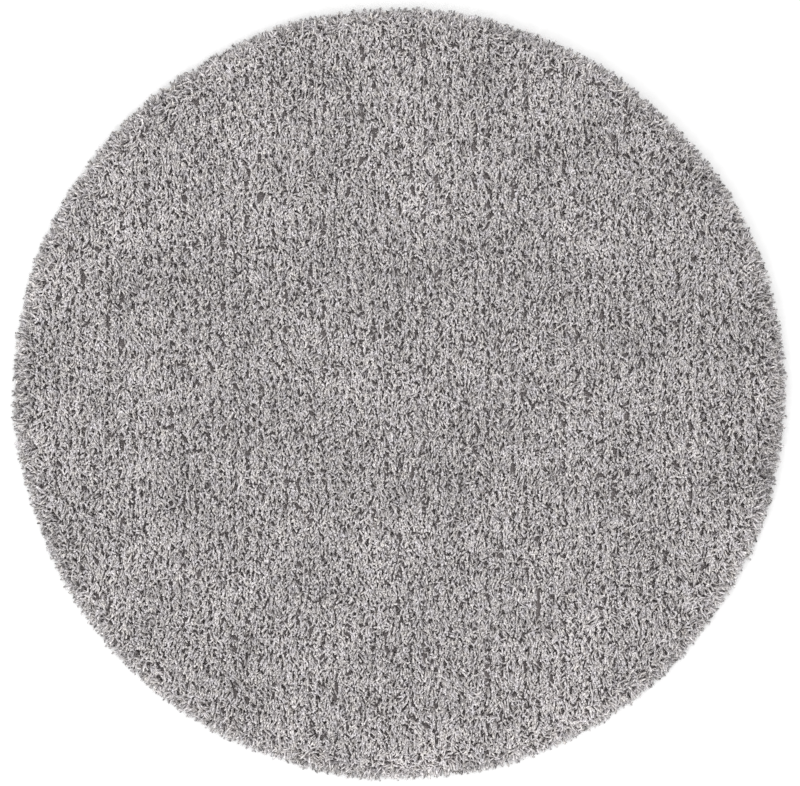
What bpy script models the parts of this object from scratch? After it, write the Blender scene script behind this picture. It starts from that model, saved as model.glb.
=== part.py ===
"""A round shag rug, 1.2 m across, lying flat on the floor: one woven piece.

Its pile is a lumpy slab, with the tuft tops in straight rows, and its edge is a double ring of short
locks of yarn that lean out over the floor. Metres, +Z up. The origin is on the floor under the middle
of the rug, and the rows of tufts run along Y.
"""

import math
import random

import bmesh
import bpy
from mathutils import Matrix, Vector, geometry

# Driving sizes
RUG_RADIUS = 0.600  # out to the tips of the edge locks, on average
PILE_HEIGHT = 0.029  # from the floor to the middle height of the lumps
LUMP_RISE = 0.0045  # of a tuft top above that height, and of a hollow below it
LUMP_SPREAD = (0.55, 1.15)  # shares of that rise, as the tufts are uneven
ROW_GAP = 0.0195  # between the rows of tufts, which run along Y
TUFT_WANDER = 0.16  # how far a tuft strays from its row, as a share of the step along the row
LOCK_COUNT = 280  # edge locks, in two staggered rings of half each
LOCK_LEAN = math.radians(26)  # the most that a lock leans sideways
LOCK_TWIST = math.radians(22)  # the most that a lock turns about its own length
SHORTEST, LONGEST = -0.0045, 0.0030  # how far a lock's tip misses the edge of the rug
SEED = 7

# The edge isn't a true circle. Waves round it, as (waves in one turn, height in metres, phase in degrees)
EDGE_WAVES = (
    (2, 0.0011, 62),
    (3, 0.0008, -67),
    (5, 0.0007, -78),
    (9, 0.0005, 166),
    (14, 0.0008, -74),
)

# Rings of the side, from the underside up, as (distance in from the lock tips, height, unevenness)
UNDERSIDE_EDGE = (0.022, 0.0, 0.0)
BAND_FOOT = (0.017, 0.0030, 0.0)
BAND_MIDDLE = (0.015, 0.0115, 0.0012)
BAND_HEAD = (0.018, 0.0210, 0.0015)
SHOULDER = (0.029, 0.0265, 0.0032)
SIDE_RINGS = (UNDERSIDE_EDGE, BAND_FOOT, BAND_MIDDLE, BAND_HEAD, SHOULDER)

# A lock grows from the band in steps, as (share of its reach, share of its drop, width left)
LOCK_STEPS = (
    (0.55, 0.30, 0.84),
    (1.00, 1.00, 0.44),
)
LOWER_TIP = 0.0  # underside of the tips of the lower ring, which rest on the floor
UPPER_TIP = 0.0085  # underside of the tips of the upper ring, which lie over the lower ones

# Slow rises and dips where the nap lies over, as (waves per metre along X, along Y, height, phase)
NAP_SWELLS = (
    (2.1, 0.8, 0.0007, 0.4),
    (-0.9, 2.6, 0.0006, 2.1),
    (3.7, -2.9, 0.0004, 4.4),
)

SAME_POINT = 1e-7  # two points of the top nearer than this would be one

YARN_COLOUR = (0.40, 0.385, 0.385, 1.0)
YARN_ROUGHNESS = 0.95


def clear_scene():
    for obj in list(bpy.data.objects):
        bpy.data.objects.remove(obj)


def edge_radius(angle):
    """Distance from the middle of the rug to its edge, in the direction of angle."""
    waves = (rise * math.cos(count * angle + math.radians(phase)) for count, rise, phase in EDGE_WAVES)
    return RUG_RADIUS + sum(waves)


def column_angle(column):
    return math.tau * column / LOCK_COUNT


def make_ring(bm, inset, height, unevenness, rng):
    """One ring of points round the side of the slab, with a point at each column."""
    ring = []
    for column in range(LOCK_COUNT):
        angle = column_angle(column)
        radius = edge_radius(angle) - inset + rng.uniform(-unevenness, unevenness)
        rise = height + rng.uniform(-unevenness, unevenness)
        ring.append(bm.verts.new((radius * math.cos(angle), radius * math.sin(angle), rise)))
    return ring


def join_rings(bm, lower, upper):
    """The band of four-sided faces between two rings, in the order of their columns."""
    band = []
    for column in range(LOCK_COUNT):
        after = (column + 1) % LOCK_COUNT
        band.append(bm.faces.new((lower[column], lower[after], upper[after], upper[column])))
    return band


def swell(x, y):
    """How far the nap lifts the pile at a place."""
    return sum(
        rise * math.sin(math.tau * (along_x * x + along_y * y) + phase)
        for along_x, along_y, rise, phase in NAP_SWELLS
    )


def tuft_places(rng):
    """Points of the top as (place, height), in staggered rows. Every third one is a tuft top, the rest hollows."""
    step = ROW_GAP / math.cos(math.radians(30))
    wander = TUFT_WANDER * step
    clear_of_edge = SHOULDER[0] + 0.5 * step
    rows = math.ceil(RUG_RADIUS / ROW_GAP)
    stops = math.ceil(RUG_RADIUS / step)
    places = []
    for row in range(-rows, rows + 1):
        for stop in range(-stops, stops + 1):
            x = row * ROW_GAP + rng.uniform(-wander, wander)
            y = (stop + 0.5 * (row % 2)) * step + rng.uniform(-wander, wander)
            if math.hypot(x, y) > edge_radius(math.atan2(y, x)) - clear_of_edge:
                continue
            is_tuft_top = (stop - row // 2 - row) % 3 == 0
            rise = LUMP_RISE if is_tuft_top else -LUMP_RISE
            places.append((Vector((x, y)), PILE_HEIGHT + rise * rng.uniform(*LUMP_SPREAD) + swell(x, y)))
    return places


def cover_with_pile(bm, shoulder, rng):
    """The lumpy top, a net of triangles from the shoulder ring over all the tuft places."""
    places = tuft_places(rng)
    flat = [v.co.xy for v in shoulder] + [place for place, _ in places]
    points = shoulder + [bm.verts.new((*place, height)) for place, height in places]
    inside_the_ring = 1
    ring = list(range(len(shoulder)))
    made = geometry.delaunay_2d_cdt(flat, [], [ring], inside_the_ring, SAME_POINT)
    triangles, origins = made[2], made[3]
    for corners in triangles:
        bm.faces.new([points[origins[corner][0]] for corner in corners])


def grow_lock(bm, root, tip_height, rng):
    """Draws one face of the band out into a four-sided lock that bends down, twists and has a blunt tip."""
    middle = root.calc_center_median()
    angle = math.atan2(middle.y, middle.x)
    lean = rng.uniform(-LOCK_LEAN, LOCK_LEAN)
    twist = rng.uniform(-LOCK_TWIST, LOCK_TWIST)
    outward = Matrix.Rotation(lean, 3, "Z") @ Vector((math.cos(angle), math.sin(angle), 0))
    full_reach = edge_radius(angle) - middle.xy.length + rng.uniform(SHORTEST, LONGEST)
    full_drop = middle.z - tip_height
    face = root
    width_before = 1.0
    for reach_share, drop_share, width in LOCK_STEPS:
        face = bmesh.ops.extrude_discrete_faces(bm, faces=[face])["faces"][0]
        here = face.calc_center_median()
        there = middle + outward * full_reach * reach_share - Vector((0, 0, full_drop * drop_share))
        turn = Matrix.Rotation(twist * reach_share, 3, outward)
        for vertex in face.verts:
            vertex.co = there + turn @ (vertex.co - here) * (width / width_before)
        width_before = width
    lay_tip_level(face, tip_height)


def lay_tip_level(face, tip_height):
    """Lifts the tip so that its lower side is level at tip_height, as yarn lies along a floor."""
    by_height = sorted(face.verts, key=lambda vertex: vertex.co.z)
    lift = tip_height - by_height[1].co.z
    for vertex in by_height:
        vertex.co.z += lift
    by_height[0].co.z = tip_height


def grow_edge_locks(bm, lower_band, upper_band, rng):
    """Every other column of each band becomes a lock, so the two rings of locks are staggered."""
    for column in range(LOCK_COUNT):
        if column % 2:
            grow_lock(bm, upper_band[column], UPPER_TIP, rng)
        else:
            grow_lock(bm, lower_band[column], LOWER_TIP, rng)


def centre_on_origin(bm):
    """Puts the middle of the rug's own box over the origin, because its uneven edge shifts it a little."""
    xs = [v.co.x for v in bm.verts]
    ys = [v.co.y for v in bm.verts]
    middle = Vector(((min(xs) + max(xs)) / 2, (min(ys) + max(ys)) / 2, 0))
    bmesh.ops.translate(bm, verts=bm.verts, vec=-middle)


def yarn_material():
    material = bpy.data.materials.new("grey_yarn")
    material.use_nodes = True
    surface = material.node_tree.nodes["Principled BSDF"]
    surface.inputs["Base Color"].default_value = YARN_COLOUR
    surface.inputs["Roughness"].default_value = YARN_ROUGHNESS
    surface.inputs["Metallic"].default_value = 0.0
    return material


def make_rug():
    rng = random.Random(SEED)
    bm = bmesh.new()
    rings = [make_ring(bm, inset, height, unevenness, rng) for inset, height, unevenness in SIDE_RINGS]
    bands = [join_rings(bm, lower, upper) for lower, upper in zip(rings, rings[1:])]
    bm.faces.new(reversed(rings[0]))
    cover_with_pile(bm, rings[-1], rng)
    grow_edge_locks(bm, bands[1], bands[2], rng)
    bmesh.ops.recalc_face_normals(bm, faces=bm.faces)
    centre_on_origin(bm)
    mesh = bpy.data.meshes.new("shag_rug")
    bm.to_mesh(mesh)
    bm.free()
    mesh.materials.append(yarn_material())
    rug = bpy.data.objects.new("shag_rug", mesh)
    bpy.context.scene.collection.objects.link(rug)


clear_scene()
make_rug()
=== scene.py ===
"""The looks of a round shag rug, lying on a plain pale floor and seen from straight above.

The pile is made of single yarns. Each one stands in its row on the ground cloth, leans together with the
other yarns of its tuft, and bends over at the top. The yarns round the edge lean out over the floor.
"""

import math

import bpy
import numpy as np
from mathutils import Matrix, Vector


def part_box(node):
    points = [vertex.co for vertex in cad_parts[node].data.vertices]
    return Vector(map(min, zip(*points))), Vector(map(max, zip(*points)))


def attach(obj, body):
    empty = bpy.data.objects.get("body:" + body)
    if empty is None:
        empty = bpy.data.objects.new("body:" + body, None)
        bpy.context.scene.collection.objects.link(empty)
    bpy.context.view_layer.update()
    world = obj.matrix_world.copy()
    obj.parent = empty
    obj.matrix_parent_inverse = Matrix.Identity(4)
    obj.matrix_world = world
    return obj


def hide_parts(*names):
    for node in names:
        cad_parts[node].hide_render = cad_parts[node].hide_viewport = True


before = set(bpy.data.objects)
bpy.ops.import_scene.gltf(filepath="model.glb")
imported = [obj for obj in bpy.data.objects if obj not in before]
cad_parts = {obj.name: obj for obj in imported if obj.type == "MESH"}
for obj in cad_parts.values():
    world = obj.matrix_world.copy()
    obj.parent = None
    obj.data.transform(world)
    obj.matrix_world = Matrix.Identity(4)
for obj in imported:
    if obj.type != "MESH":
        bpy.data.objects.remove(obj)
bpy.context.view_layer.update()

# The rug, in metres, as its solid has it
low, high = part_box("shag_rug")
BOX_REACH = 0.0013  # how far its box reaches past the average edge
RUG_RADIUS = (high[0] - low[0] + high[1] - low[1]) / 4 - BOX_REACH
# The edge isn't a true circle. Waves round it, as (waves in one turn, height in metres, phase in degrees)
EDGE_WAVES = (
    (2, 0.0011, 62),
    (3, 0.0008, -67),
    (5, 0.0007, -78),
    (9, 0.0005, 166),
    (14, 0.0008, -74),
)

# Random choices. A smooth random field is a sum of waves that each head any way
SEED = 7
FIELD_WAVES = 48
HALF_WAVE = (0.7, 1.5)  # half the length of each wave, as a share of the width of the field's patches
STRIP_SPACING = 3.7  # how far apart strips are taken to be, so that their fields differ

# The pile, in rows of tufts that run along Y
PILE_TOP = 0.031
TUFT_ROW_GAP = 0.0195  # between rows of tufts
RUNS_PER_ROW = 6  # runs of yarns in each row of tufts
RUN_GAP = TUFT_ROW_GAP / RUNS_PER_ROW
STITCH = 0.0041  # between the yarns of a run
ROOT_STRAY = 0.0007
WANDER_LENGTH = 0.030  # of the bends in a row of tufts, and in a parting
ROW_WANDER = 0.0020  # how far a row of tufts strays from a straight line
DRAWN_IN = 0.16  # how far the roots are drawn towards the middle of their row
ROW_FADE = 3  # how fast the rows fade out over the edge band, within a third of it
TUFT_WIDTH = RUN_GAP  # a tuft is a few neighbours in a run that lean alike
TUFT_LENGTH = 0.0130
TUFT_GATHER = (0.07, 0.04)  # how steeply its yarns lean towards its middle, across and along
MOST_COLUMNS = 1000  # more columns of tufts than the rug has
PILE_SECTIONS = 5

# The ground cloth
CLOTH_INSET = 0.012  # from the tips of the edge yarns in to the edge of the cloth
CLOTH_THICKNESS = 0.0012
CLOTH_FLOOR_GAP = 0.0002
CLOTH_RIDGE = 0.0012  # height of the ridge between two rows of tufts
CLOTH_CORNERS = 360  # round its edge
CLOTH_STRIP = TUFT_ROW_GAP / 4  # width of the strips that its ridges are shaped from
CLOTH_STEP = 0.040  # length of their faces
THREAD_GAP = 0.0030  # between the threads of its weave

# Yarns
YARN_LENGTH = (0.0308, 0.0352)
TUFT_LENGTH_SPREAD = 0.03  # share by which the yarns of a tuft are longer or shorter together
YARN_RADIUS = 0.00149
YARN_GIRTH = (0.86, 1.16)  # share of that radius, from yarn to yarn
EDGE_GIRTH = 0.08  # how much thicker the yarns of the edge are, which hang loose
TANGLED_GIRTH = 0.12  # and the tangled ones
ROOT_HEIGHT = 0.7 * CLOTH_THICKNESS  # of the roots over the underside of the cloth
YARN_SIDES = 3
YARN_STEPS = 12  # in which the bend of a yarn is worked out
YARN_TWIST = math.radians(40)  # of the mesh, from root to cut end
PLY_TURN = 0.0072  # length of yarn in which its two plies turn once round each other

# Rings of a yarn, as (share of its length, share of its radius). Its root narrows to a point in the cloth
PILE_YARN_RINGS = (
    (0.00, 0.00),
    (0.54, 1.00),
    (1.00, 1.02),
)
EDGE_YARN_RINGS = (
    (0.00, 0.00),
    (0.40, 1.00),
    (0.70, 1.05),
    (1.00, 0.98),
)
FACES_UP = 0.9  # the least Z of the normal of a face that counts as the upper end
SAME_PLACE = 1e-6  # points of the straight yarn that are nearer than this are level, or in its middle

# How the yarns lean, as a bend at their tips
LEAST_LEAN = math.radians(38)
MOST_LEAN = math.radians(98)
NAP_LEAN = math.radians(38)  # how much further the nap lies over in soft patches, along the rows
NAP_LEAN_PATCH = 0.055  # width of those patches
TUFT_LEAN = math.radians(24)  # how far each tuft strays from that
YARN_LEAN = math.radians(11)  # and each yarn from its tuft
NAP_TURN = 0.32  # how far the nap turns away from the rows in soft patches, in radians
NAP_TURN_PATCH = 0.030
TUFT_TURN = 0.28  # how far each tuft turns from that
YARN_TURN = 0.20  # and each yarn from its tuft
YARN_BOW = (1.6, 3.0)  # how late a yarn bends over, where 1 is an even bend
CONTRARY = 0.22  # share of the yarns that lie the other way than their tuft
TANGLED = 0.24  # share of the yarns that are caught low in the pile and lie any way
TANGLED_TURN = 1.1
TANGLED_LEAN = math.radians(30)
TANGLED_LOSS = 0.22  # share of the length that a tangled yarn loses in its curls
PILE_CURL = math.radians(28)

# The pile parts in crooked lines between the rows
PARTING_WANDER = 0.0025  # how far a parting strays from the line between two rows
PARTING_WIDTH = 0.0022
PARTING_OPEN = 0.55  # how open the partings are on average, from 0 to 1
PARTING_CHANGE = 0.9  # and how much that changes along them
PARTING_CHANGE_LENGTH = 0.020
PARTING_LOSS = 0.14  # how much shorter the yarns in a parting are, as a share of their length
TOP_REACH = 0.26  # where the visible top of a yarn is, as a share of its length away from the root
# The streaks are partly real, as longer and shorter yarns, and partly painted light and shade in the tone of
# the yarns
STREAK_LENGTH = 0.030  # of the light and dark streaks along the runs
STREAK_GAIN = 0.03  # how much longer the yarns of a light streak are

# The band round the edge, where the yarns lean out and hang over
EDGE_BAND = 0.030  # its width on the cloth
EDGE_FAN = 0.05  # share of the way across it, from which a yarn is one of the edge yarns
EDGE_RUNS = 5  # close runs of yarns along the edge of the cloth
EDGE_RUN_GAP = 0.0029
EDGE_RUN_START = 0.35  # how far in the outer run is, as a share of the gap between runs
EDGE_RUN_STRAY = 0.0004
EDGE_STITCH = 0.0033
EDGE_STITCH_STRAY = 0.2  # as a share of a stitch
EDGE_YARN_LENGTH = (0.0117, 0.0170)
EDGE_PULL = 1.4  # how strongly the edge yarns are drawn outwards, against 1 along the nap
EDGE_SPREAD = 1.5  # how far the edge yarns lie sideways, against 1 outwards
EDGE_START = math.radians(26)  # how far an edge yarn leans where it leaves the cloth
EDGE_DROOP = (math.radians(115), math.radians(155))  # and at its tip, which points down to the floor
EDGE_BOW = 1.0
EDGE_CURL = math.radians(110)
HANG_POWER = 2.2  # how late the yarns start to hang over on the way out across the band

# The edge yarns stand in clumps with gaps between them, where they are shorter
CLUMP_WIDTH = 0.0050
GAP_OPENS, GAP_FULL = -0.25, -0.75  # in a random field that is mostly from -1 to 1
GAP_FADE = 2  # how fast the gaps set in over the edge band, within half of it
GAP_LOSS, EDGE_GAP_LOSS = 0.09, 0.20  # how much shorter pile yarns and edge yarns are there

# Tones. One step up or down makes a yarn about 12% lighter or darker
TONE_STEP = 0.125
YARN_TONE = 0.26  # spread from yarn to yarn
TUFT_TONE = 0.24  # spread from tuft to tuft
EDGE_TONE = 1.75  # the further spread at the edge, where each yarn is seen by itself
# Painted shade: the yarns round the edge are made darker
EDGE_PAINTED_SHADE = 1.55  # how much darker the yarns of the edge are
# Painted shade: the yarns in the partings between rows are made darker
PARTING_PAINTED_SHADE = 2.7
# Painted shade: the edge yarns in the gaps between clumps are made darker
CLUMP_GAP_PAINTED_SHADE = 1.5
LIGHTEST, DARKEST = 2.2, -3.4
TONE_PATCHES = (  # as (width of the patches, spread in steps)
    (0.022, 0.12),
    (0.045, 0.40),
    (0.110, 0.62),
    (0.250, 0.20),
    (0.500, 0.10),
)
# Painted light and shade: a broad drift of brightness across the rug
ENDS_PAINTED_LIGHT = 0.65  # how much lighter the rug is at its two ends along Y than across its middle
QUARTERS_PAINTED_SHADE = 0.60  # how much darker its +X +Y and -X -Y quarters are than the other two

# Finishes. Grains are noise scales, in lumps per metre
# Yarn colours by depth in the pile. The darker deep colour is painted shade between the yarns
TOP_SHADE = (0.645, 0.619, 0.622)
MIDDLE_SHADE = (0.65, 0.617, 0.619)
DEEP_PAINTED_SHADE = (0.585, 0.534, 0.538)
PILE_PAINTED_SHADES = ((0.05, TOP_SHADE), (0.30, MIDDLE_SHADE), (0.75, DEEP_PAINTED_SHADE))  # as (depth, colour)
COOL_TINT = (0.996, 1.000, 1.040)
WARM_TINT = (1.004, 1.000, 0.952)
TINT_GRAIN, TINT_CONTRAST = 75.0, 2.2
FIBRE_GRAIN, FIBRE_CONTRAST = 1100.0, 0.2
HEATHER_GRAIN, HEATHER_CONTRAST = 300.0, 2.2
# Painted shade: the groove between the two plies of a yarn is painted darker than their backs
PLY_PAINTED_SHADE = 0.25  # how much lighter the back of a ply is than the groove between the two
YARN_LIGHT = 0.82  # of a groove, before tone and speckle
YARN_LIGHT_RANGE = (0.3, 1.5)

# Painted shade in the low places between and under the threads of the weave
THREAD_GAP_PAINTED_SHADE = (0.170, 0.152, 0.135)
JUTE_SHADE = (0.63, 0.59, 0.54)
STITCH_SHADE = (0.30, 0.285, 0.285)
UPPER_SHADE = (0.54, 0.490, 0.494)
THREAD_DIP = 0.4  # how far a thread dips where another crosses it, as a share of its height
SLUB_GRAIN, SLUB_CONTRAST = 260.0, 0.35
BLOTCH_GRAIN, BLOTCH_CONTRAST = 9.0, 0.25
CLOTH_LIGHT = 0.70
CLOTH_LIGHT_RANGE = (0.3, 1.3)
EVEN_SHIFT = 1000  # an even number of runs that keeps their count over zero

FLOOR_SIZE = 40
FLOOR_SHADE = (0.82, 0.82, 0.82, 1)

# Areas of each piece's own map, as (start, size) across and up. The size is the reach to
# either side of the start where the area is round
YARN_CELL_SHAPE = 3.4  # a yarn's own cell in its map, its length over its width
YARN_SIDES_AREA = ((0.06, 0.88), (0.04, 0.84))
YARN_END_AREA = ((0.50, 0.30), (0.94, 0.03))
UNDERSIDE_AREA = ((0.50, 0.47), (0.53, 0.45))
UPPER_SIDE_AREA = ((0.065, 0.055), (0.065, 0.055))
CLOTH_RIM_AREA = ((0.17, 0.78), (0.01, 0.02))

# The picture
METRES_PER_PIXEL = 0.001554
IMAGE_WIDTH = 800
IMAGE_MIDDLE = (400.0, 393.0)
RUG_MIDDLE = (399.2, 393.6)
CAMERA_HEIGHT = 3.2
SENSOR = 36.0  # millimetres
SKY_SHADE, SKY_STRENGTH = (1, 1, 1, 1), 0.99
LIGHT_PANELS = (  # as (name, place, size, power in watts)
    ("key_light", (-1.6, -2.0, 2.2), 1.2, 31),
    ("top_light", (0.25, 0.30, 2.9), 1.0, 24),
)


def edge_radius(angle):
    """Distance from the middle of the rug to its edge, in the direction of angle."""
    waves = (rise * np.cos(count * angle + math.radians(phase)) for count, rise, phase in EDGE_WAVES)
    return sum(waves, RUG_RADIUS)


def soft_patches(x, y, size, rng):
    """A smooth random field over the rug, mostly from -1 to 1, in patches about as wide as size."""
    heading = rng.uniform(0, math.tau, FIELD_WAVES)
    pace = math.pi / (size * rng.uniform(*HALF_WAVE, FIELD_WAVES))
    start = rng.uniform(0, math.tau, FIELD_WAVES)
    turns = np.outer(x, pace * np.cos(heading)) + np.outer(y, pace * np.sin(heading)) + start
    return np.cos(turns).sum(axis=1) * math.sqrt(0.5 / FIELD_WAVES)


def along_strips(strip, y, size, rng):
    """A smooth random field along each numbered strip, which doesn't follow that of the next strip."""
    return soft_patches(strip * STRIP_SPACING, y, size, rng)


# ---------------------------------------------------------------- where the yarns are and how they lie


class Yarns:
    """Places, directions and sizes of a set of yarns, one row of each array for each yarn."""

    def __init__(self, **columns):
        self.__dict__.update(columns)

    def some(self, chosen):
        return Yarns(**{name: column[chosen] for name, column in self.__dict__.items()})


def field_roots(rng):
    """Places of the roots, in straight runs along Y."""
    runs = math.ceil(RUG_RADIUS / RUN_GAP)
    stops = math.ceil(RUG_RADIUS / STITCH)
    run, stop = (a.ravel() for a in np.meshgrid(np.arange(-runs, runs + 1), np.arange(-stops, stops + 1)))
    x = (run + 0.5) * RUN_GAP + rng.normal(0, ROOT_STRAY, run.size)
    y = (stop + 0.5 * (run % 2)) * STITCH + rng.normal(0, ROOT_STRAY, run.size)
    inside = edge_radius(np.arctan2(y, x)) - np.hypot(x, y) > CLOTH_INSET + EDGE_RUNS * EDGE_RUN_GAP
    return x[inside], y[inside]


def edge_roots(rng):
    """Places of the roots in a few close runs along the edge of the cloth, where the yarns lean out."""
    count = round(math.tau * RUG_RADIUS / EDGE_STITCH)
    run = np.repeat(np.arange(EDGE_RUNS), count)
    step = np.tile(np.arange(count), EDGE_RUNS) + 0.5 * run + rng.normal(0, EDGE_STITCH_STRAY, run.size)
    angle = step * math.tau / count
    inset = CLOTH_INSET + (run + EDGE_RUN_START) * EDGE_RUN_GAP + rng.normal(0, EDGE_RUN_STRAY, run.size)
    radius = edge_radius(angle) - inset
    return radius * np.cos(angle), radius * np.sin(angle)


def gather_in_tufts(x, y, rng):
    """Which tuft each yarn is in, and where it stands in it: from -1 to 1 across and along."""
    column = np.floor(x / TUFT_WIDTH)
    first_tuft = rng.uniform(0, TUFT_LENGTH, MOST_COLUMNS)[column.astype(int) % MOST_COLUMNS]
    stop = np.floor((y + first_tuft) / TUFT_LENGTH)
    across = 2 * (x / TUFT_WIDTH - column) - 1
    along = 2 * ((y + first_tuft) / TUFT_LENGTH - stop) - 1
    _, tuft = np.unique(np.stack([column, stop]), axis=1, return_inverse=True)
    return tuft.ravel(), np.stack([across, along], axis=1)


def cloth_height(x):
    """Height of the cloth's underside, which lies low under the rows of tufts and is raised between them."""
    return CLOTH_FLOOR_GAP + CLOTH_RIDGE * (0.5 + 0.5 * np.cos(math.tau * x / TUFT_ROW_GAP))


def blended(inner, edge, share):
    return inner * (1 - share) + edge * share


def by_tuft(spread, tuft, rng):
    """A random amount for each tuft, which all its yarns share."""
    return rng.normal(0, spread, tuft.max() + 1)[tuft]


def drawn_to_rows(x, y, fan, rng):
    """New places for the roots, as a row of tufts is drawn together and strays a little to either side."""
    row = np.floor(x / TUFT_ROW_GAP)
    off_middle = x - (row + 0.5) * TUFT_ROW_GAP
    stray = ROW_WANDER * along_strips(row, y, WANDER_LENGTH, rng) - DRAWN_IN * off_middle
    return x + stray * (1 - np.clip(ROW_FADE * fan, 0, 1))


def lay_the_nap(x, y, tuft, outward, fan, rng):
    """Which way each yarn lies, how far its tip bends over, and if it is tangled."""
    count = x.size
    turn = math.pi / 2 + NAP_TURN * soft_patches(x, y, NAP_TURN_PATCH, rng) + by_tuft(TUFT_TURN, tuft, rng)
    turn = turn + rng.normal(0, YARN_TURN, count)
    tangled = rng.random(count) < TANGLED
    turn = turn + tangled * rng.normal(0, TANGLED_TURN, count)
    lean = NAP_LEAN * soft_patches(x, y, NAP_LEAN_PATCH, rng) + by_tuft(TUFT_LEAN, tuft, rng)
    lean = lean + rng.normal(0, YARN_LEAN, count)
    side = np.where(lean < 0, -1, 1) * np.where(rng.random(count) < CONTRARY, -1, 1)
    along_nap = np.stack([np.cos(turn), np.sin(turn)], axis=1) * side[:, None]
    round_edge = np.stack([-outward[:, 1], outward[:, 0]], axis=1)
    off_edge = outward + round_edge * rng.normal(0, EDGE_SPREAD, count)[:, None]
    heading = unit(blended(along_nap, EDGE_PULL * off_edge, fan[:, None]))
    return heading, np.minimum(LEAST_LEAN + np.abs(lean), MOST_LEAN) + tangled * TANGLED_LEAN, tangled


def part_the_pile(top, fan, rng):
    """How near each yarn's top is to a parting, from 0 to 1, and how light its streak is, from -1 to 1."""
    x, y = top.T
    line = np.round(x / TUFT_ROW_GAP)
    off_line = x - line * TUFT_ROW_GAP - PARTING_WANDER * along_strips(line, y, WANDER_LENGTH, rng)
    open_here = PARTING_OPEN + PARTING_CHANGE * along_strips(line, y, PARTING_CHANGE_LENGTH, rng)
    parting = np.exp(-((off_line / PARTING_WIDTH) ** 2)) * np.clip(open_here, 0, 1)
    streak = along_strips(np.floor(x / RUN_GAP), y, STREAK_LENGTH, rng)
    return parting * (1 - fan), streak * (1 - fan)


def gaps_between_clumps(x, y, fan, rng):
    """How far each edge yarn stands in a gap between two clumps, from 0 to 1."""
    clumps = soft_patches(x, y, CLUMP_WIDTH, rng)
    gap = np.clip((clumps - GAP_OPENS) / (GAP_FULL - GAP_OPENS), 0, 1)
    return gap * np.clip(GAP_FADE * fan, 0, 1)


def broad_tones(x, y, rng):
    """Soft light and dark patches over the whole rug, and a slow drift of painted light and shade across it.
    """
    # Painted light and shade: lighter at the two ends, darker in two quarters
    tone = (ENDS_PAINTED_LIGHT * y**2 - QUARTERS_PAINTED_SHADE * x * y) / RUG_RADIUS**2
    for size, spread in TONE_PATCHES:
        tone = tone + spread * soft_patches(x, y, size, rng)
    return tone


def plan_yarns(rng):
    """Every yarn of the rug: where it is rooted, how it leans, bends and curls, and its tone, which is
    partly its own and partly painted light and shade.
    """
    x, y = (np.concatenate(pair) for pair in zip(field_roots(rng), edge_roots(rng)))
    count = x.size
    tuft, stand = gather_in_tufts(x, y, rng)
    from_edge = edge_radius(np.arctan2(y, x)) - np.hypot(x, y)
    outward = np.stack([x, y], axis=1) / np.hypot(x, y)[:, None]
    fan = np.clip((CLOTH_INSET + EDGE_BAND - from_edge) / EDGE_BAND, 0, 1)
    hang = fan**HANG_POWER
    x = drawn_to_rows(x, y, fan, rng)

    heading, droop, tangled = lay_the_nap(x, y, tuft, outward, fan, rng)
    length = rng.uniform(*YARN_LENGTH, count) * (1 + by_tuft(TUFT_LENGTH_SPREAD, tuft, rng))
    length = length * (1 - TANGLED_LOSS * tangled)
    top = np.stack([x, y], axis=1) + heading * (TOP_REACH * length * np.sin(droop))[:, None]
    parting, streak = part_the_pile(top, fan, rng)
    gap = gaps_between_clumps(x, y, fan, rng)
    length = length * (1 + STREAK_GAIN * streak - PARTING_LOSS * parting - GAP_LOSS * gap)
    edge_length = rng.uniform(*EDGE_YARN_LENGTH, count) * (1 - EDGE_GAP_LOSS * gap)

    tone = rng.normal(0, 1, count) * (YARN_TONE + EDGE_TONE * fan) + by_tuft(TUFT_TONE, tuft, rng)
    # Painted shade darkens the yarns of partings, of gaps between clumps and of the edge. The streaks and
    # the broad drift add painted light and shade
    tone = tone + streak - PARTING_PAINTED_SHADE * parting - CLUMP_GAP_PAINTED_SHADE * gap - EDGE_PAINTED_SHADE * fan + broad_tones(x, y, rng)
    return Yarns(
        root=np.stack([x, y, cloth_height(x) + ROOT_HEIGHT], axis=1),
        fan=fan,
        heading=heading,
        lean=-stand * TUFT_GATHER * (1 - fan[:, None]),
        length=blended(length, edge_length, hang),
        start=EDGE_START * hang,
        droop=blended(droop, rng.uniform(*EDGE_DROOP, count), hang),
        bow=blended(rng.uniform(*YARN_BOW, count), EDGE_BOW, fan),
        curl=rng.normal(0, 1, count) * blended(PILE_CURL, EDGE_CURL, fan),
        spin=rng.uniform(0, math.tau, count),
        girth=rng.uniform(*YARN_GIRTH, count) * (1 + EDGE_GIRTH * hang + TANGLED_GIRTH * tangled),
        tone=np.clip(tone, DARKEST, LIGHTEST),
    )


# ---------------------------------------------------------------- the shapes of the yarns


def unit(ways):
    return ways / np.linalg.norm(ways, axis=-1, keepdims=True)


def turned(headings, angle):
    """Level directions, each turned about Z by its own angle."""
    x, y = headings[:, 0], headings[:, 1]
    return np.stack([x * np.cos(angle) - y * np.sin(angle), x * np.sin(angle) + y * np.cos(angle)], axis=1)


def between(samples, at):
    """Values of evenly spaced samples, along their second axis, at places between them."""
    before = np.minimum(np.floor(at).astype(int), samples.shape[1] - 2)
    share = (np.array(at) - before)[None, :, None]
    return samples[:, before] * (1 - share) + samples[:, before + 1] * share


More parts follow.
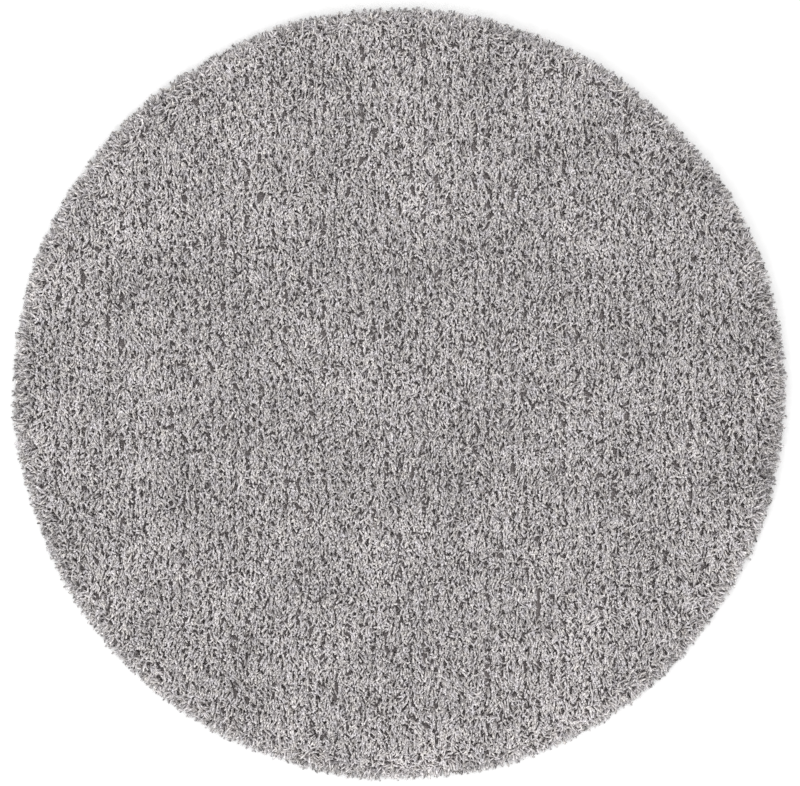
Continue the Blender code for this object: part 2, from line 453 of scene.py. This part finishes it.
def centre_lines(yarns, stations):
    """Points and directions of every yarn at each of the stations, which are shares of its length."""
    place = yarns.root
    places, ways = [place], []
    for step in range(YARN_STEPS):
        share = (step + 0.5) / YARN_STEPS
        bend = yarns.start + (yarns.droop - yarns.start) * share**yarns.bow
        flat = turned(yarns.heading, yarns.curl * share) * np.sin(bend)[:, None] + yarns.lean * (1 - share)
        way = unit(np.concatenate([flat, np.cos(bend)[:, None]], axis=1))
        place = place + way * (yarns.length / YARN_STEPS)[:, None]
        places.append(place)
        ways.append(way)
    places = np.stack(places, axis=1)
    ways = np.stack([ways[0], *ways], axis=1)
    at = [station * YARN_STEPS for station in stations]
    return between(places, at), unit(between(ways, at))


def depth_in_pile(place):
    """How deep each point lies in the pile, as a share of its height. The pile rounds down at its edge."""
    x, y, z = place[..., 0], place[..., 1], place[..., 2]
    from_edge = edge_radius(np.arctan2(y, x)) - np.hypot(x, y)
    return np.clip(1 - np.hypot(np.maximum(PILE_TOP - from_edge, 0), z) / PILE_TOP, 0, 1)


def model_yarn(rings):
    """The points and faces of a straight yarn one unit long, drawn up ring by ring from a point."""
    bpy.ops.object.select_all(action="DESELECT")
    height, radius = rings[1]
    bpy.ops.mesh.primitive_cone_add(
        vertices=YARN_SIDES, radius1=0, radius2=radius, depth=height, location=(0, 0, height / 2)
    )
    yarn = bpy.context.object
    bpy.ops.object.transform_apply(location=True)
    bpy.ops.object.mode_set(mode="EDIT")
    bpy.ops.mesh.select_all(action="DESELECT")
    bpy.ops.object.mode_set(mode="OBJECT")
    for face in yarn.data.polygons:
        face.select = face.normal.z > FACES_UP
    bpy.ops.object.mode_set(mode="EDIT")
    for (start, before), (end, after) in zip(rings[1:], rings[2:]):
        bpy.ops.mesh.extrude_region_move(TRANSFORM_OT_translate={"value": (0, 0, end - start)})
        bpy.ops.transform.resize(value=(after / before, after / before, 1))
    bpy.ops.mesh.select_all(action="SELECT")
    bpy.ops.mesh.normals_make_consistent(inside=False)
    bpy.ops.object.mode_set(mode="OBJECT")
    points = np.array([v.co for v in yarn.data.vertices])
    faces = [np.array(face.vertices) for face in yarn.data.polygons]
    bpy.data.objects.remove(yarn)
    return points, faces


def lay_yarns(name, yarns, rings):
    """One joined mesh with a copy of the straight yarn bent along each centre line."""
    points, faces = model_yarn(rings)
    stations = np.array([station for station, _ in rings])
    lines, ways = centre_lines(yarns, stations)
    ring_of = np.abs(points[:, 2:3] - stations[None, :]).argmin(axis=1)
    radius = np.hypot(points[:, 0], points[:, 1])
    around = np.arctan2(points[:, 1], points[:, 0])

    way = ways[:, ring_of]
    level = np.stack([-yarns.heading[:, 1], yarns.heading[:, 0], 0 * yarns.length], axis=1)[:, None, :]
    side = unit(level - way * (level * way).sum(axis=2, keepdims=True))
    third = np.cross(way, side)
    turn = around[None, :] + yarns.spin[:, None] + YARN_TWIST * stations[ring_of][None, :]
    reach = YARN_RADIUS * yarns.girth[:, None] * radius[None, :]
    place = lines[:, ring_of]
    place = place + side * (np.cos(turn) * reach)[..., None] + third * (np.sin(turn) * reach)[..., None]
    # Nothing sinks into the floor
    place[..., 2] = np.maximum(place[..., 2], CLOTH_FLOOR_GAP)
    return joined_copies(name, place, points, faces, yarns)


def joined_copies(name, place, points, faces, yarns):
    """One mesh of all the copies, with their tones and depths, and two maps of each yarn's surface."""
    count, per_yarn = place.shape[:2]
    corners = np.concatenate(faces)
    sizes = np.tile([len(face) for face in faces], count)
    mesh = bpy.data.meshes.new(name)
    mesh.vertices.add(count * per_yarn)
    mesh.vertices.foreach_set("co", place.astype(np.float32).ravel())
    mesh.loops.add(corners.size * count)
    copies = (corners[None, :] + per_yarn * np.arange(count)[:, None]).ravel()
    mesh.loops.foreach_set("vertex_index", copies.astype(np.int32))
    mesh.polygons.add(sizes.size)
    mesh.polygons.foreach_set("loop_start", (np.cumsum(sizes) - sizes).astype(np.int32))
    mesh.update(calc_edges=True)
    mesh.shade_smooth()

    turns, along, is_end = wrap_of(points, faces)
    metres_along = along[None, :] * yarns.length[:, None]
    wrap = np.stack([np.tile(turns, count), metres_along.ravel()], axis=1)
    set_values(mesh.uv_layers.new(name="yarn").uv, "vector", wrap)
    set_values(mesh.uv_layers.new(name="OFBake").uv, "vector", own_cells(turns, along, is_end, count))
    set_values(mesh.attributes.new("tone", "FLOAT", "POINT").data, "value", np.repeat(yarns.tone, per_yarn))
    # The depth sets the painted shade down in the pile, in the yarn finish
    set_values(mesh.attributes.new("depth", "FLOAT", "POINT").data, "value", depth_in_pile(place))

    piece = bpy.data.objects.new(name, mesh)
    bpy.context.scene.collection.objects.link(piece)
    return piece


def set_values(items, name, values):
    items.foreach_set(name, values.astype(np.float32).ravel())


def wrap_of(points, faces):
    """Each face corner's turn round the yarn, its share of the length, and if its face is the cut end."""
    turns, is_end = [], []
    for face in faces:
        x, y, height = points[face].T
        turn = np.arctan2(y, x) / math.tau % 1
        on_rim = np.hypot(x, y) > SAME_PLACE
        level = np.ptp(height) < SAME_PLACE
        if not level and np.ptp(turn[on_rim]) > 0.5:
            turn[turn < 0.5] += 1
        turn[~on_rim] = turn[on_rim].mean()
        turns.append(turn)
        is_end.append(np.full(turn.size, level))
    turns = np.concatenate(turns)
    return turns - turns.min(), points[np.concatenate(faces), 2], np.concatenate(is_end)


def own_cells(turns, along, is_end, count):
    """Places in a square map with a cell for each yarn: its sides below, its cut end in a strip above."""
    across = math.ceil(math.sqrt(count * YARN_CELL_SHAPE))
    down = math.ceil(count / across)
    column, line = np.arange(count) % across, np.arange(count) // across
    spin = turns * math.tau
    on_end = place_in(YARN_END_AREA, np.cos(spin), np.sin(spin))
    u, v = np.where(is_end, on_end, place_in(YARN_SIDES_AREA, turns, along))
    return np.stack([(column[:, None] + u) / across, (line[:, None] + v) / down], axis=2)


def place_in(area, across, up):
    """A place in one area of a map, from shares of the area's size."""
    (left, width), (bottom, height) = area
    return left + width * across, bottom + height * up


# ---------------------------------------------------------------- ground cloth


def make_ground_cloth():
    """The woven cloth that holds the pile: a thin round sheet on the floor, ridged between the rows."""
    bpy.ops.object.select_all(action="DESELECT")
    bpy.ops.mesh.primitive_circle_add(vertices=CLOTH_CORNERS, radius=1, fill_type="NGON")
    cloth = bpy.context.object
    cloth.name = "ground_cloth"
    for vertex in cloth.data.vertices:
        angle = math.atan2(vertex.co.y, vertex.co.x)
        radius = float(edge_radius(angle)) - CLOTH_INSET
        vertex.co = (radius * math.cos(angle), radius * math.sin(angle), 0)
    bpy.ops.object.mode_set(mode="EDIT")
    for step, way in ((CLOTH_STRIP, (1, 0, 0)), (CLOTH_STEP, (0, 1, 0))):
        for cut in range(math.floor(-RUG_RADIUS / step), math.ceil(RUG_RADIUS / step)):
            bpy.ops.mesh.select_all(action="SELECT")
            bpy.ops.mesh.bisect(plane_co=[step * cut * share for share in way], plane_no=way)
    bpy.ops.object.mode_set(mode="OBJECT")

    for vertex in cloth.data.vertices:
        vertex.co.z = cloth_height(vertex.co.x)
    wall = cloth.modifiers.new("thickness", "SOLIDIFY")
    wall.thickness = CLOTH_THICKNESS
    wall.offset = 1
    bpy.ops.object.modifier_apply(modifier=wall.name)
    cloth.data.shade_smooth()
    above = np.array([is_above(vertex.co) for vertex in cloth.data.vertices])
    set_values(cloth.data.attributes.new("upper", "FLOAT", "POINT").data, "value", above)
    lay_out_cloth(cloth.data)
    return cloth


def is_above(point):
    """If a point of the cloth is on its upper side."""
    return point.z > cloth_height(point.x) + CLOTH_THICKNESS / 2


def turn_round(point):
    """How far round the rug a point is, as a share of a turn."""
    return math.atan2(point.y, point.x) / math.tau % 1


def lay_out_cloth(mesh):
    """A map of the cloth's surface: its underside large, its upper side small in a corner, and its rim."""
    reach = max(vertex.co.xy.length for vertex in mesh.vertices)
    layer = mesh.uv_layers.new(name="OFBake")
    for face in mesh.polygons:
        for loop in face.loop_indices:
            point = mesh.vertices[mesh.loops[loop].vertex_index].co
            if abs(face.normal.z) > 0.5:
                area = UPPER_SIDE_AREA if face.normal.z > 0 else UNDERSIDE_AREA
                spot = place_in(area, point.x / reach, point.y / reach)
            else:
                # Both ends of a face stay on the same side of the seam
                turn = turn_round(point)
                turn += round(turn_round(face.center) - turn)
                spot = place_in(CLOTH_RIM_AREA, turn, is_above(point))
            layer.uv[loop].vector = spot


# ---------------------------------------------------------------- finishes


class Sum:
    """Wraps a socket, so that shader maths reads as an expression."""

    def __init__(self, finish, socket):
        self.finish, self.socket = finish, socket

    def _with(self, operation, *others):
        return self.finish.maths(operation, *others)

    def __add__(self, other):
        return self._with("ADD", self, other)

    def __sub__(self, other):
        return self._with("SUBTRACT", self, other)

    def __rsub__(self, other):
        return self._with("SUBTRACT", other, self)

    def __mul__(self, other):
        return self._with("MULTIPLY", self, other)

    def __truediv__(self, other):
        return self._with("DIVIDE", self, other)

    def __pow__(self, other):
        return self._with("POWER", self, other)

    __radd__, __rmul__ = __add__, __mul__


class Finish:
    """A material under construction."""

    def __init__(self, name):
        self.material = bpy.data.materials.new(name)
        self.material.use_nodes = True
        self.tree = self.material.node_tree
        self.surface = self.tree.nodes["Principled BSDF"]

    def node(self, kind, settings=(), output=0, **sockets):
        """Adds one node: its settings first, then the values or links of its sockets, by name."""
        node = self.tree.nodes.new(kind)
        for setting, value in dict(settings).items():
            if setting == "stops":
                self.set_stops(node.color_ramp, value)
            else:
                setattr(node, setting, value)
        self.fill(node, sockets)
        return Sum(self, node.outputs[output])

    def set_stops(self, ramp, stops):
        while len(ramp.elements) < len(stops):
            ramp.elements.new(0.5)
        for element, (place, colour) in zip(ramp.elements, stops):
            element.position = place
            element.color = (*colour, 1)

    def fill(self, node, sockets):
        """Puts values or links in sockets, by name with _ for a space, or as input_0, input_1 and so on."""
        for name, value in sockets.items():
            key = int(name[6:]) if name.startswith("input_") else name.replace("_", " ")
            self.put(node.inputs[key], value)

    def put(self, socket, value):
        if isinstance(value, Sum):
            self.tree.links.new(value.socket, socket)
        else:
            socket.default_value = value

    def coat(self, **sockets):
        """Values or links for the surface itself."""
        self.fill(self.surface, sockets)

    def maths(self, operation, *values):
        sockets = {f"input_{i}": value for i, value in enumerate(values)}
        return self.node("ShaderNodeMath", {"operation": operation}, **sockets)

    def mix(self, share, first, second):
        """A colour between two colours."""
        colours = [value if isinstance(value, Sum) else (*value, 1) for value in (first, second)]
        sockets = {"input_0": share, "input_6": colours[0], "input_7": colours[1]}
        return self.node("ShaderNodeMix", {"data_type": "RGBA"}, output=2, **sockets)

    def scaled(self, colour, light):
        return self.node("ShaderNodeVectorMath", {"operation": "SCALE"}, input_0=colour, Scale=light)

    def clamp(self, value, least=0.0, most=1.0):
        return self.node("ShaderNodeClamp", Value=value, Min=least, Max=most)

    def noise(self, place, scale, detail, rough):
        return self.node("ShaderNodeTexNoise", Vector=place, Scale=scale, Detail=detail, Roughness=rough)

    def stripes(self, turns, level, sharpness):
        """Soft-edged stripes, one to a turn. They are as wide as the gaps between them at a level of 0."""
        return self.clamp((self.maths("COSINE", turns * math.tau) + level) * sharpness)

    def attribute(self, name):
        return self.node("ShaderNodeAttribute", {"attribute_name": name}, output="Fac")

    def object_place(self):
        return self.node("ShaderNodeTexCoord", output="Object")

    def x_and_y(self, vector):
        x = self.node("ShaderNodeSeparateXYZ", output="X", Vector=vector)
        return x, Sum(self, x.socket.node.outputs["Y"])


def yarn_finish():
    """Matt grey yarn of two twisted plies, with painted shade down in the pile and in the groove between the
    plies, and a tone for each yarn, partly its own and partly painted light and shade.
    """
    f = Finish("grey_yarn")
    around, along = f.x_and_y(f.node("ShaderNodeUVMap", {"uv_map": "yarn"}))
    tone, depth = f.attribute("tone"), f.attribute("depth")
    place = f.object_place()

    fibres = f.noise(place, FIBRE_GRAIN, 2.0, 0.6)
    heather = f.noise(place, HEATHER_GRAIN, 1.0, 0.5)
    # The ply stripes paint shade into the groove between the plies, and the same stripes shape the bump
    ply = f.maths("COSINE", (around * 2 + along / PLY_TURN) * math.tau) * 0.5 + 0.5
    speckle = FIBRE_CONTRAST * (fibres - 0.5) + HEATHER_CONTRAST * (heather - 0.5)
    # The tone carries painted light and shade from the plan as well as each yarn's own tone
    light = YARN_LIGHT + TONE_STEP * tone + PLY_PAINTED_SHADE * ply**0.5 + speckle

    # Painted shade: the colour darkens deeper in the pile
    colour = f.node("ShaderNodeValToRGB", {"stops": PILE_PAINTED_SHADES}, Fac=depth)
    colour = f.scaled(colour, f.clamp(light, *YARN_LIGHT_RANGE))
    warmth = f.clamp((f.noise(place, TINT_GRAIN, 2.0, 0.6) - 0.5) * TINT_CONTRAST + 0.5)
    tint = f.mix(warmth, COOL_TINT, WARM_TINT)
    colour = f.node("ShaderNodeVectorMath", {"operation": "MULTIPLY"}, input_0=colour, input_1=tint)
    bump = f.node("ShaderNodeBump", Strength=0.6, Distance=0.0004, Height=ply * 0.8 + fibres * 0.5)
    f.coat(Base_Color=colour, Normal=bump, Roughness=0.93, Specular_IOR_Level=0.18)
    f.coat(Sheen_Weight=0.12, Sheen_Roughness=0.6)
    return f.material


def thread_height(across, along):
    """Height of a thread that is round across and dips along its length."""
    return across**0.5 * (1 - THREAD_DIP + THREAD_DIP * along)


def cloth_finish():
    """Plain weave of jute-coloured threads with painted shade between them, grey on its upper side, with a
    small stitch for each yarn.
    """
    f = Finish("ground_weave")
    place = f.object_place()
    x, y = f.x_and_y(place)
    wave_x = f.maths("SINE", x * (math.pi / THREAD_GAP))
    wave_y = f.maths("SINE", y * (math.pi / THREAD_GAP))
    across, along = f.maths("ABSOLUTE", wave_x), f.maths("ABSOLUTE", wave_y)
    warp_on_top = f.maths("GREATER_THAN", wave_x * wave_y, 0.0)
    warp, weft = thread_height(across, along), thread_height(along, across)
    height = warp * warp_on_top + weft * (1 - warp_on_top)
    slubs = f.noise(place, SLUB_GRAIN, 3.0, 0.6)
    blotches = f.noise(place, BLOTCH_GRAIN, 3.0, 0.5)

    run = x / RUN_GAP
    half_step = f.maths("MODULO", f.maths("FLOOR", run) + EVEN_SHIFT, 2.0) * 0.5
    on_run = f.stripes(run - 0.5, -0.45, 4)
    on_stitch = f.stripes(y / STITCH + half_step, 0.35, 3)
    on_row = f.stripes(x / TUFT_ROW_GAP - 0.5, 0.45, 2)
    stitch = on_run * on_stitch * on_row

    thread = f.mix(f.attribute("upper"), JUTE_SHADE, UPPER_SHADE)
    # Painted shade: the weave darkens where the threads are low
    weave = f.mix(f.clamp(height * 1.1), THREAD_GAP_PAINTED_SHADE, thread)
    light = f.clamp(CLOTH_LIGHT + SLUB_CONTRAST * slubs + BLOTCH_CONTRAST * blotches, *CLOTH_LIGHT_RANGE)
    colour = f.scaled(f.mix(stitch, weave, STITCH_SHADE), light)
    relief = height * 0.6 + stitch * 1.2 + slubs * 0.4
    bump = f.node("ShaderNodeBump", Strength=0.8, Distance=0.0005, Height=relief)
    f.coat(Base_Color=colour, Normal=bump, Roughness=0.9, Specular_IOR_Level=0.15)
    return f.material


def floor_finish():
    f = Finish("pale_floor")
    f.coat(Base_Color=FLOOR_SHADE, Roughness=0.9, Specular_IOR_Level=0.1)
    return f.material


# ---------------------------------------------------------------- the picture


def make_floor():
    bpy.ops.object.select_all(action="DESELECT")
    bpy.ops.mesh.primitive_plane_add(size=FLOOR_SIZE, location=(0, 0, 0))
    floor = bpy.context.object
    floor.name = "floor"
    floor.data.materials.append(floor_finish())


def make_camera():
    """Straight overhead, as the photo is taken, with the rug at the same place and size in the frame."""
    data = bpy.data.cameras.new("camera")
    camera = bpy.data.objects.new("camera", data)
    bpy.context.scene.collection.objects.link(camera)
    data.sensor_width = SENSOR
    data.lens = SENSOR * CAMERA_HEIGHT / (IMAGE_WIDTH * METRES_PER_PIXEL)
    right = (IMAGE_MIDDLE[0] - RUG_MIDDLE[0]) * METRES_PER_PIXEL
    down = (IMAGE_MIDDLE[1] - RUG_MIDDLE[1]) * METRES_PER_PIXEL
    camera.location = (right, -down, CAMERA_HEIGHT)
    bpy.context.scene.camera = camera


def add_panel(name, place, size, power):
    """A square soft light that faces the middle of the rug."""
    data = bpy.data.lights.new(name, "AREA")
    data.energy = power
    data.size = size
    panel = bpy.data.objects.new(name, data)
    panel.location = place
    panel.rotation_mode = "QUATERNION"
    panel.rotation_quaternion = (-Vector(place)).to_track_quat("-Z", "Y")
    bpy.context.scene.collection.objects.link(panel)


def light_the_studio():
    world = bpy.data.worlds.new("studio")
    bpy.context.scene.world = world
    world.use_nodes = True
    sky = world.node_tree.nodes["Background"]
    sky.inputs["Color"].default_value = SKY_SHADE
    sky.inputs["Strength"].default_value = SKY_STRENGTH
    for panel in LIGHT_PANELS:
        add_panel(*panel)
    bpy.context.scene.view_settings.view_transform = "Standard"


# ---------------------------------------------------------------- the rug


def dress(piece, material):
    """Gives a finished piece its material, puts it under the root body and hides the solid of the rug."""
    piece.data.materials.append(material)
    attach(piece, "root")
    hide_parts("shag_rug")


def make_pile(rng):
    """The pile as a few joined meshes: the field in sections from left to right, and the edge in halves."""
    yarns = plan_yarns(rng)
    at_edge = yarns.fan > EDGE_FAN
    on_left = yarns.root[:, 0] < 0
    field = yarns.some(~at_edge)
    order = np.argsort(field.root[:, 0], kind="stable")
    grey = yarn_finish()
    for number, part in enumerate(np.array_split(order, PILE_SECTIONS), 1):
        dress(lay_yarns(f"pile_section_{number}", field.some(part), PILE_YARN_RINGS), grey)
    for side, chosen in (("left", at_edge & on_left), ("right", at_edge & ~on_left)):
        dress(lay_yarns(f"edge_yarns_{side}", yarns.some(chosen), EDGE_YARN_RINGS), grey)


make_camera()
light_the_studio()
make_floor()
make_pile(np.random.default_rng(SEED))
dress(make_ground_cloth(), cloth_finish())
